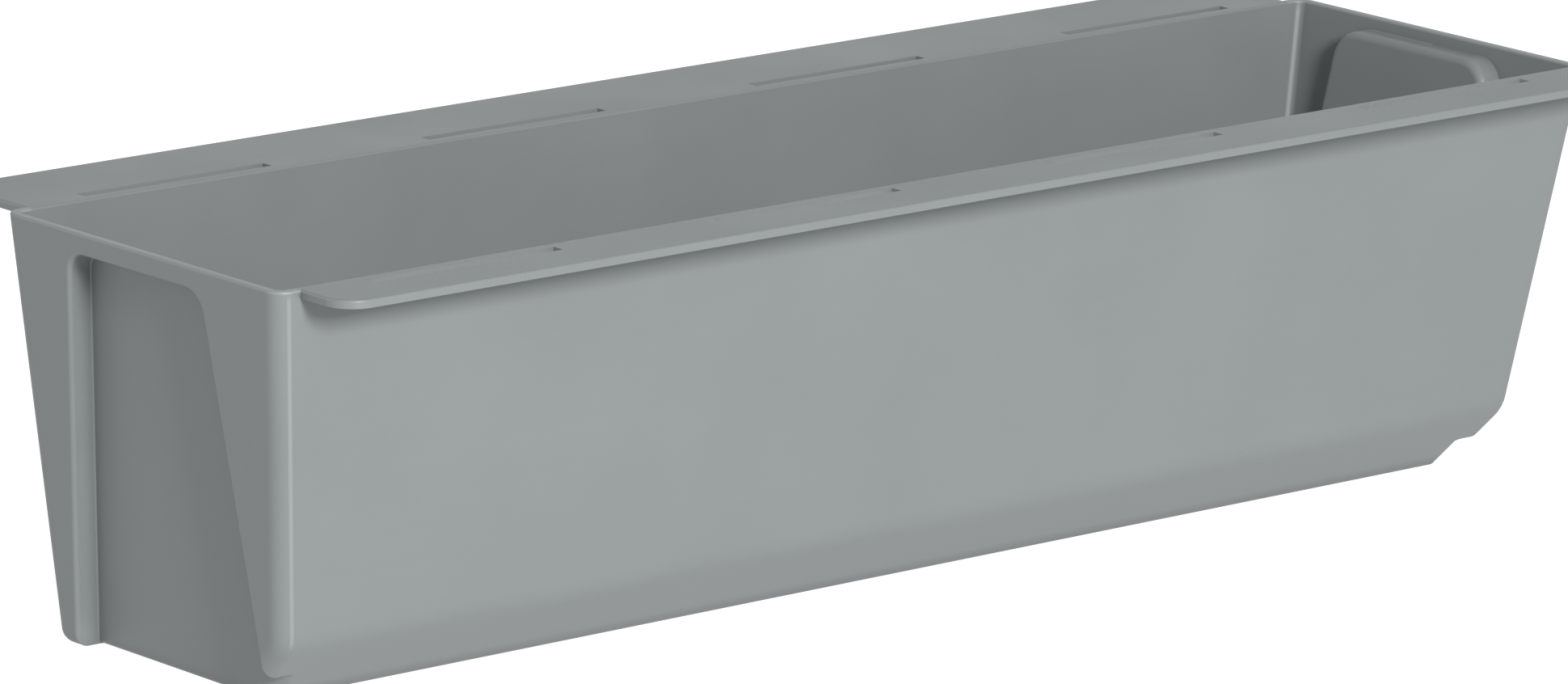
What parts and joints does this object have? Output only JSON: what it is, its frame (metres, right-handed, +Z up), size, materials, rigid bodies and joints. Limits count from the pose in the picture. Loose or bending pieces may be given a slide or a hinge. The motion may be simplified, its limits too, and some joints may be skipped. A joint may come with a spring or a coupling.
{
  "type": "self watering planter trough",
  "caption": "Long grey moulded planter trough with slotted side flanges and a lift-out reservoir insert: separators, soil cups, filling shaft, float gauge and drain plugs.",
  "frame": {"origin": "underside of the floor, midway between the two end walls and midway between the front and back walls at the rim", "axes": "+X along the trough, +Y from the front wall towards the back wall and its wide flange, +Z up"},
  "size_m": [0.5998, 0.2236, 0.1545],
  "materials": {
    "trough_shell": "fine satin moulded surface, stone grey",
    "separator": "satin black moulding",
    "clip": "satin black moulding",
    "cup": "satin black moulding",
    "shaft": "satin dark grey moulding",
    "lid": "satin dark grey moulding",
    "pin": "drawn stainless wire",
    "gauge_tube": "satin dark grey moulding",
    "clear_cap": "clear glossy moulding",
    "float": "white foamed plastic",
    "rod": "white moulded rod",
    "tip": "glossy red moulding",
    "plug": "satin black moulding",
    "gasket": "soft black rubber"
  },
  "bodies": {
    "trough": {"trough": "trough_shell"},
    "insert": {"separator_left": "separator", "separator_right": "separator", "joint_clip_front": "clip", "joint_clip_back": "clip", "soil_cup_1": "cup", "soil_cup_2": "cup", "soil_cup_3": "cup", "soil_cup_4": "cup", "fill_shaft": "shaft", "lid_pin": "pin", "gauge_tube": "gauge_tube", "gauge_cap": "clear_cap"},
    "fill_lid": {"fill_lid": "lid"},
    "gauge": {"gauge_float": "float", "gauge_rod": "rod", "gauge_tip": "tip"},
    "drain_plug_left": {"drain_plug_left": "plug", "drain_gasket_left": "gasket"},
    "drain_plug_right": {"drain_plug_right": "plug", "drain_gasket_right": "gasket"}
  },
  "joints": [
    {"name": "insert_lift", "type": "slide", "parent": "trough", "child": "insert", "axis": [0, 0, 1], "range_m": [0, 0.16]},
    {"name": "fill_lid_hinge", "type": "hinge", "parent": "insert", "child": "fill_lid", "pos_m": [0.13593, -0.02481, 0.134], "axis": [-1, 0, 0], "range_deg": [0, 105]},
    {"name": "gauge_rise", "type": "slide", "parent": "insert", "child": "gauge", "axis": [0, 0, 1], "range_m": [0, 0.034]},
    {"name": "drain_plug_left_turn", "type": "hinge", "parent": "trough", "child": "drain_plug_left", "pos_m": [-0.13593, 0.01299, 0.0004], "axis": [0, 0, 1], "range_deg": [0, 90]},
    {"name": "drain_plug_right_turn", "type": "hinge", "parent": "trough", "child": "drain_plug_right", "pos_m": [0.13593, 0.01299, 0.0004], "axis": [0, 0, 1], "range_deg": [0, 90]}
  ]
}
